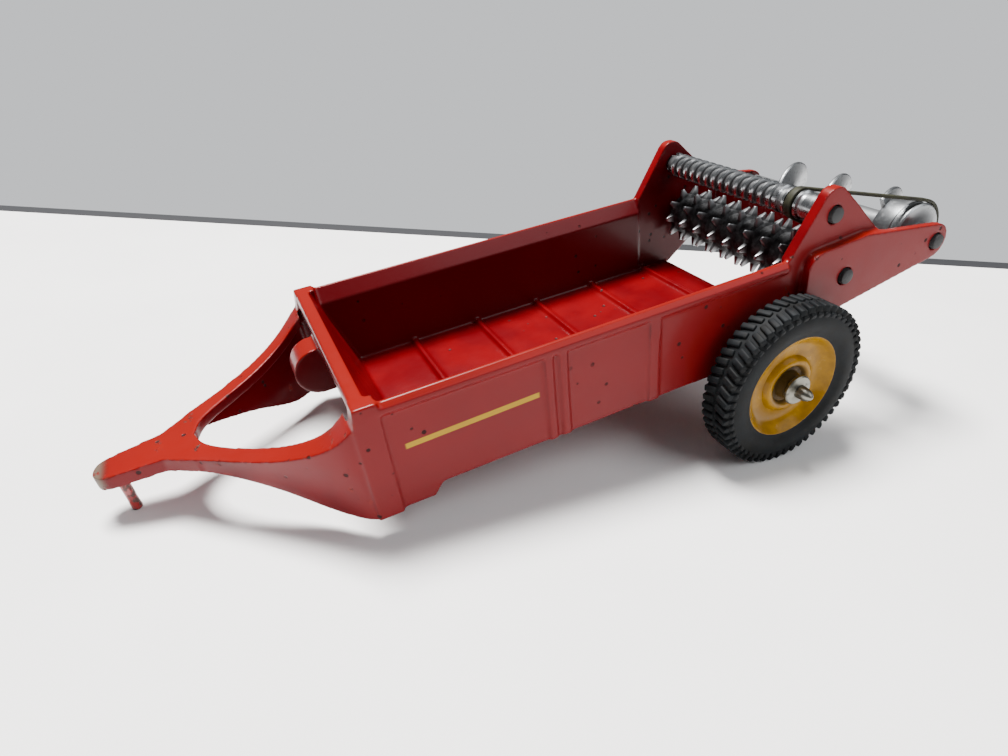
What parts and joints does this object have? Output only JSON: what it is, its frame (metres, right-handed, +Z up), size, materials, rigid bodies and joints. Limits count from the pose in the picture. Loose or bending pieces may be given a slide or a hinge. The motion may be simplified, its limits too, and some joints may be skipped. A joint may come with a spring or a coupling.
{
  "type": "die-cast toy manure spreader",
  "caption": "Small die-cast toy manure spreader: open ribbed box on two rubber-tyred wheels, forked drawbar with hitch pin, turning toothed and threaded beaters and a rear auger.",
  "frame": {"origin": "on the surface the toy stands on, under the middle of its overall length and width", "axes": "+X forward along the tongue, +Y to the left, +Z up from the surface; the box is pitched 8.7 degrees nose-down, as it stands on its wheels and hitch pin"},
  "size_m": [0.1204, 0.0546, 0.0372],
  "materials": {
    "red_enamel": "glossy enamel, worn and chipped at the edges",
    "worn_red_steel": "thin worn enamel over steel",
    "yellow_enamel": "glossy enamel",
    "tyre_rubber": "matt moulded rubber",
    "plated_metal": "bright, slightly rough",
    "axle_steel": "plain steel, dulled",
    "band_rubber": "aged, dull"
  },
  "bodies": {
    "casting": {"floor": "red_enamel", "headboard": "red_enamel", "front_housing": "red_enamel", "left_side": "red_enamel", "right_side": "red_enamel", "left_drawbar_arm": "red_enamel", "right_drawbar_arm": "red_enamel", "tongue": "red_enamel", "hitch_pin": "worn_red_steel", "left_cheek": "red_enamel", "right_cheek": "red_enamel", "left_rear_arm": "red_enamel", "right_rear_arm": "red_enamel", "rear_guard": "red_enamel", "beater_belt": "band_rubber", "axle": "axle_steel"},
    "left_wheel": {"left_hub": "yellow_enamel", "left_tyre": "tyre_rubber"},
    "right_wheel": {"right_hub": "yellow_enamel", "right_tyre": "tyre_rubber"},
    "upper_roller": {"upper_beater": "plated_metal"},
    "lower_roller": {"lower_beater": "plated_metal"},
    "auger": {"spreading_auger": "plated_metal"}
  },
  "joints": [
    {"name": "left_wheel_spin", "type": "hinge", "parent": "casting", "child": "left_wheel", "pos_m": [-0.02645, 0.02205, 0.0121], "axis": [0, 1, 0], "continuous": true},
    {"name": "right_wheel_spin", "type": "hinge", "parent": "casting", "child": "right_wheel", "pos_m": [-0.02645, -0.02205, 0.0121], "axis": [0, 1, 0], "continuous": true},
    {"name": "auger_spin", "type": "hinge", "parent": "casting", "child": "auger", "pos_m": [-0.05464, 0, 0.02807], "axis": [0, 1, 0], "continuous": true},
    {"name": "upper_beater_spin", "type": "hinge", "parent": "casting", "child": "upper_roller", "pos_m": [-0.03327, 0, 0.03354], "axis": [0, 1, 0], "continuous": true},
    {"name": "lower_beater_spin", "type": "hinge", "parent": "casting", "child": "lower_roller", "pos_m": [-0.0369, 0, 0.02504], "axis": [0, 1, 0], "continuous": true}
  ]
}
